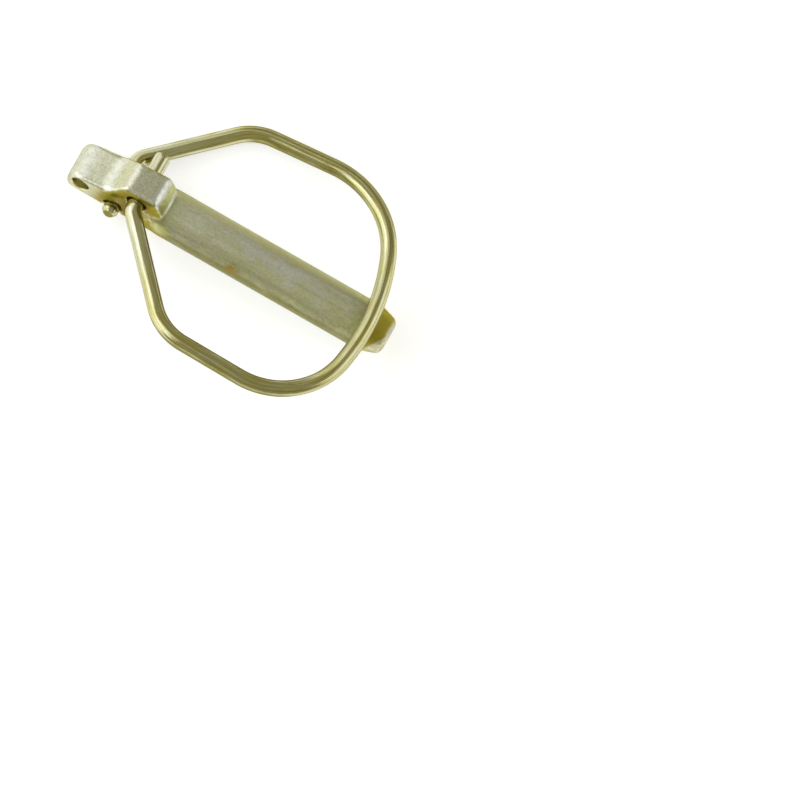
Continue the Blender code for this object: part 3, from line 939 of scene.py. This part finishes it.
def yellow_film_and_shade(skin, colour):
    """The yellow film on the sides, darkened as painted shade on what faces sideways or down: gold on the
    head, olive on the shank, and thin at the eye end.
    """
    colours = skin.colours
    sizes = skin.sizes
    # Film and painted shade: darker on faces that turn sideways or down.
    film = skin.mix(skin.far, colours.shank_side_film_and_shade, colours.shank_far_film_and_shade)
    # A painted dark line of shade along the shank's near edge.
    painted_edge_shade = skin.times(skin.between(skin.side, 0.87, 0.96, 0.04, 0.45), skin.near)
    painted_edge_shade = skin.times(painted_edge_shade, skin.ramp(skin.clouds, 0.36, 0.52, 0.4, 1.0))
    film = skin.mix(painted_edge_shade, film, colours.pool)
    gold = skin.times(skin.ramp(skin.broken, 0.0012, 0.0040, 1.0, 0.0), skin.near)
    gold = skin.math("MAXIMUM", gold, skin.on_head)
    film = skin.mix(gold, film, colours.side)
    flank_film_and_shade = skin.times(side_film_and_shade(skin, skin.side, skin.mottle, 0.58, 0.92), gold)
    uneven = skin.plus(skin.blotches, skin.times(skin.far, 0.22))
    shank_film_and_shade = skin.times(side_film_and_shade(skin, skin.side, uneven, 0.56, 1.02), skin.math("SUBTRACT", 1.0, gold))
    shank_film_and_shade = skin.times(shank_film_and_shade, skin.ramp(skin.side, 0.95, 1.05, 1.0, 0.65))
    eye_end = skin.ramp(skin.broken, sizes.eye_x + 0.0012, -sizes.ramp_foot + 0.0010, 0.08, 1.0)
    return skin.mix(skin.times(skin.plus(flank_film_and_shade, shank_film_and_shade), eye_end), colour, film)


def hole_shade_and_bore_film(skin, colour):
    """Painted shade between the wire holes, amber darkening round them as painted shade on the side faces,
    and the film on the walls of all three holes.
    """
    colours = skin.colours
    sizes = skin.sizes
    wire = bpy.context.scene.lock_pin_wire
    flat = skin.stretch(skin.place, (1.0, 0.0, 1.0))
    on_side = skin.ramp(skin.side, 0.6, 0.95)
    # Painted shade on the side faces between the wire holes.
    colour = skin.mix(skin.times(skin.within(flat, *SHADE_BY_HOLES), on_side), colour, colours.pool)
    radius = sizes.wire_hole_radius
    holes = (
        ((wire.low_hole_x, 0.0, wire.low_hole_z), 0.8),
        ((wire.high_hole_x, 0.0, wire.high_hole_z), 0.9),
    )
    for centre, strength in holes:
        ring = skin.times(skin.within(flat, centre, radius, radius), on_side)
        # Amber darkening round each hole mouth on the side faces: painted shade.
        amber = skin.times(ring, skin.ramp(skin.mottle, 0.40, 0.62, 0.0, strength))
        colour = skin.mix(amber, colour, colours.stain_and_shade)
        colour = skin.mix(skin.within(flat, centre, radius, MOUTH_EASE), colour, colours.bore)
    eye = skin.within(flat, (sizes.eye_x, 0.0, sizes.eye_z), sizes.eye_radius, MOUTH_EASE)
    return skin.mix(eye, colour, colours.bore)


def tip_film_and_lit_side(skin, colour):
    """Gold on the cone of the tip, partly painted shade, parted by a slanted line from paler metal on its
    near side, a painted lit side.
    """
    colours = skin.colours
    end = skin.sizes.shank_length
    start = end - skin.sizes.tip_taper_length
    cone = skin.ramp(skin.along, start - 0.0012, start + 0.0003)
    face = skin.ramp(skin.along, end - 0.0011, end - 0.0004, 1.0, 0.0)
    gold = skin.mix(skin.ramp(skin.clouds, 0.46, 0.60, 0.0, 0.35), colours.tip, colours.stain_and_shade)
    colour = skin.mix(skin.times(cone, face), colour, gold)
    line = skin.plus(skin.across, skin.times(skin.math("SUBTRACT", end, skin.along), TIP_LIGHT_SLANT))
    # The paler near side of the cone is a painted lit side.
    painted_lit_side = skin.ramp(line, 0.0003, 0.0012, 1.0, 0.0)
    pale = skin.mix(skin.ramp(skin.mottle, 0.42, 0.60), colours.tan, colours.fresh)
    share = skin.times(painted_lit_side, skin.ramp(skin.clouds, 0.40, 0.60, 0.65, 0.95))
    return skin.mix(skin.times(cone, share), colour, pale)


def shank_marks(skin, colour):
    """The green corner where the shank meets the head's near side, and one amber run on the shank."""
    colours = skin.colours
    junction = skin.times(skin.within(skin.place, *JUNCTION), 0.8)
    colour = skin.mix(junction, colour, colours.slope)
    spot = skin.times(skin.within(skin.place, *SPOT), skin.ramp(skin.mottle, 0.35, 0.58, 0.3, 1.0))
    return skin.mix(spot, colour, colours.stain_and_shade)


def forging_material():
    """Zinc plate and its yellow film over a forged skin, with painted shade, painted highlights and a painted
    reflection of the wire.
    """
    skin = PinSkin("zinc_forging")
    colour = head_zinc(skin, shank_zinc(skin))
    colour = yellow_film_and_shade(skin, colour)
    colour = hole_shade_and_bore_film(skin, colour)
    colour = tip_film_and_lit_side(skin, colour)
    colour = shank_marks(skin, colour)
    smooth = skin.ramp(skin.mottle, 0.3, 0.7, 0.28, 0.40)
    blasted = skin.math("MAXIMUM", skin.on_plateau, skin.ramp(skin.along, 0.0, 0.0020, 0.0, 0.6))
    rougher = skin.times(blasted, skin.ramp(skin.along, 0.0, 0.0020, 0.12, 0.32))
    relief = skin.bump(skin.clouds, 0.30, 0.00020)
    relief = skin.bump(skin.mottle, 0.35, 0.00010, relief)
    relief = skin.bump(skin.grain, 0.45, 0.00006, relief)
    return skin.plated(colour, skin.plus(smooth, rougher), relief)


def wire_material():
    """Bright zinc plate over drawn wire, with fine marks along it, golden stretches by the head, legs painted
    paler to pale their highlights, and olive film with painted shade on its sides.
    """
    nodes = Nodes("zinc_wire")
    colours = nodes.colours
    place = pin_coordinates(nodes)
    straight = nodes.attribute("straightened", "Vector")
    streaks = nodes.pattern(straight, WIRE_STREAKS)
    scratches = nodes.pattern(straight, WIRE_SCRATCHES)
    clouds = nodes.pattern(straight, WIRE_CLOUDS)
    colour = nodes.mix(nodes.ramp(clouds, 0.40, 0.64), colours.wire, colours.wire_yellow)
    spread = nodes.add("SeparateXYZ", {"Vector": place}).outputs
    # The two legs by the head are painted paler, to pale the highlights they carry.
    legs = nodes.ramp(nodes.math("ABSOLUTE", spread["Y"]), 0.0090, 0.0200, 0.8, 0.0)
    legs = nodes.times(legs, nodes.ramp(spread["X"], 0.0080, 0.0160, 1.0, 0.0))
    colour = nodes.mix(legs, colour, colours.wire_pale_highlight)
    golden = nodes.times(nodes.within(place, *WIRE_BY_HEAD), nodes.ramp(clouds, 0.44, 0.60, 0.0, 0.45))
    colour = nodes.mix(golden, colour, colours.wire_gold)
    colour = nodes.darken(nodes.ramp(streaks, 0.44, 0.62, 0.0, 0.75), colour)
    colour = nodes.darken(nodes.ramp(scratches, 0.46, 0.62, 0.0, 0.6), colour)
    # Olive film with painted shade on what faces sideways or down.
    film = side_film_and_shade(nodes, nodes.attribute("side", "Fac"), clouds, 0.66, 0.88)
    colour = nodes.mix(film, colour, colours.wire_side_film_and_shade)
    relief = nodes.bump(streaks, 0.45, 0.00012)
    relief = nodes.bump(scratches, 0.30, 0.00003, relief)
    return nodes.plated(colour, nodes.ramp(streaks, 0.3, 0.7, 0.12, 0.22), relief)


def add_camera():
    """The camera at the photo's angle: over the object, tilted a little to the pin's near side."""
    lean = VIEW_TILT - RESTING_ROLL
    across = Vector((0.0, math.cos(lean), math.sin(lean)))
    towards = Vector((0.0, -math.sin(lean), math.cos(lean)))
    right = Vector((math.cos(AXIS_SLOPE), 0.0, 0.0)) + across * math.sin(AXIS_SLOPE)
    up = Vector((-math.sin(AXIS_SLOPE), 0.0, 0.0)) + across * math.cos(AXIS_SLOPE)
    pixel = 0.001 / PHOTO_SCALE
    right_shift = (PHOTO_SIZE / 2.0 - AXIS_IN_PHOTO[0]) * pixel
    up_shift = (AXIS_IN_PHOTO[1] - PHOTO_SIZE / 2.0) * pixel
    aim = pin_to_row() @ Vector((AXIS_PLACE_X, 0.0, 0.0)) + right * right_shift + up * up_shift
    data = bpy.data.cameras.new("camera")
    data.lens = LENS
    data.sensor_width = SENSOR
    data.clip_start = 0.1
    data.clip_end = 100.0
    camera = bpy.data.objects.new("camera", data)
    bpy.context.scene.collection.objects.link(camera)
    distance = PHOTO_SIZE * pixel * LENS / SENSOR
    turn = Matrix((right, up, towards)).transposed()
    camera.matrix_world = Matrix.Translation(aim + towards * distance) @ turn.to_4x4()
    bpy.context.scene.camera = camera


def add_soft_box(name, compass, from_zenith, width, height, radiance):
    """A soft box a metre from the object, turned towards it."""
    data = bpy.data.lights.new(name, "AREA")
    data.shape = "RECTANGLE"
    data.size = width
    data.size_y = height
    data.energy = radiance * math.pi * width * height
    data.color = LAMP_COLOUR
    bearing = math.radians(compass)
    lean = math.radians(from_zenith)
    place = Vector((math.cos(bearing) * math.sin(lean), math.sin(bearing) * math.sin(lean), math.cos(lean)))
    light = bpy.data.objects.new(name, data)
    bpy.context.scene.collection.objects.link(light)
    light.location = place
    light.rotation_euler = (-place).to_track_quat("-Z", "Y").to_euler()


def add_world():
    """A pale room: white where the camera looks past the floor, dimmer for the object itself."""
    world = bpy.data.worlds.new("room")
    bpy.context.scene.world = world
    world.use_nodes = True
    tree = world.node_tree
    tree.nodes.clear()
    output = tree.nodes.new("ShaderNodeOutputWorld")
    path = tree.nodes.new("ShaderNodeLightPath")
    mix = tree.nodes.new("ShaderNodeMixShader")
    tree.links.new(path.outputs["Is Camera Ray"], mix.inputs[0])
    for socket, colour in ((mix.inputs[1], ROOM_COLOUR), (mix.inputs[2], WHITE)):
        background = tree.nodes.new("ShaderNodeBackground")
        background.inputs["Color"].default_value = (*colour, 1.0)
        tree.links.new(background.outputs[0], socket)
    tree.links.new(mix.outputs[0], output.inputs["Surface"])


def add_floor():
    """A wide pale floor that keeps the object's shadow."""
    deselect_all()
    bpy.ops.mesh.primitive_plane_add(size=FLOOR_SIZE, location=(0.0, 0.0, 0.0))
    floor = bpy.context.object
    floor.name = "floor"
    nodes = Nodes("pale_floor")
    nodes.feed(nodes.shader.inputs["Base Color"], FLOOR_COLOUR)
    nodes.feed(nodes.shader.inputs["Roughness"], 0.9)
    nodes.feed(nodes.shader.inputs["Specular IOR Level"], 0.0)
    nodes.feed(nodes.shader.inputs["Emission Color"], WHITE)
    rays = nodes.add("LightPath").outputs
    seen = nodes.plus(rays["Is Camera Ray"], rays["Is Glossy Ray"])
    seen = nodes.plus(seen, rays["Is Transmission Ray"])
    nodes.feed(nodes.shader.inputs["Emission Strength"], nodes.times(seen, FLOOR_GLOW))
    floor.data.materials.append(nodes.material)


class LOCKPIN_OT_stage(bpy.types.Operator):
    """Set the floor, the soft light and the camera"""

    bl_idname = "lockpin.stage"
    bl_label = "Stage"

    def execute(self, context):
        context.scene.view_settings.view_transform = "Standard"
        add_floor()
        add_world()
        for name, values in SOFT_BOXES.items():
            add_soft_box(name, *values)
        add_camera()
        return {"FINISHED"}


class LOCKPIN_PT_panel(bpy.types.Panel):
    """Lists the sizes, the colours and the steps"""

    bl_label = "Lock Pin"
    bl_idname = "LOCKPIN_PT_panel"
    bl_space_type = "VIEW_3D"
    bl_region_type = "UI"
    bl_category = "Lock Pin"

    def draw(self, context):
        scene = context.scene
        for operator in STEPS:
            self.layout.operator(operator.bl_idname)
        for group in (scene.lock_pin_sizes, scene.lock_pin_wire, scene.lock_pin_colours):
            box = self.layout.box()
            for name in group.__annotations__:
                box.prop(group, name)


STEPS = (LOCKPIN_OT_stage, LOCKPIN_OT_forged_pin, LOCKPIN_OT_wire_ring)
CLASSES = (PinSizes, WireSizes, FinishColours) + STEPS + (LOCKPIN_PT_panel,)


def register():
    for item in CLASSES:
        bpy.utils.register_class(item)
    bpy.types.Scene.lock_pin_sizes = PointerProperty(type=PinSizes)
    bpy.types.Scene.lock_pin_wire = PointerProperty(type=WireSizes)
    bpy.types.Scene.lock_pin_colours = PointerProperty(type=FinishColours)


def unregister():
    del bpy.types.Scene.lock_pin_colours
    del bpy.types.Scene.lock_pin_wire
    del bpy.types.Scene.lock_pin_sizes
    for item in reversed(CLASSES):
        bpy.utils.unregister_class(item)


def main():
    register()
    bpy.ops.lockpin.stage()
    bpy.ops.lockpin.forged_pin()
    bpy.ops.lockpin.wire_ring()


if __name__ == "__main__":
    main()
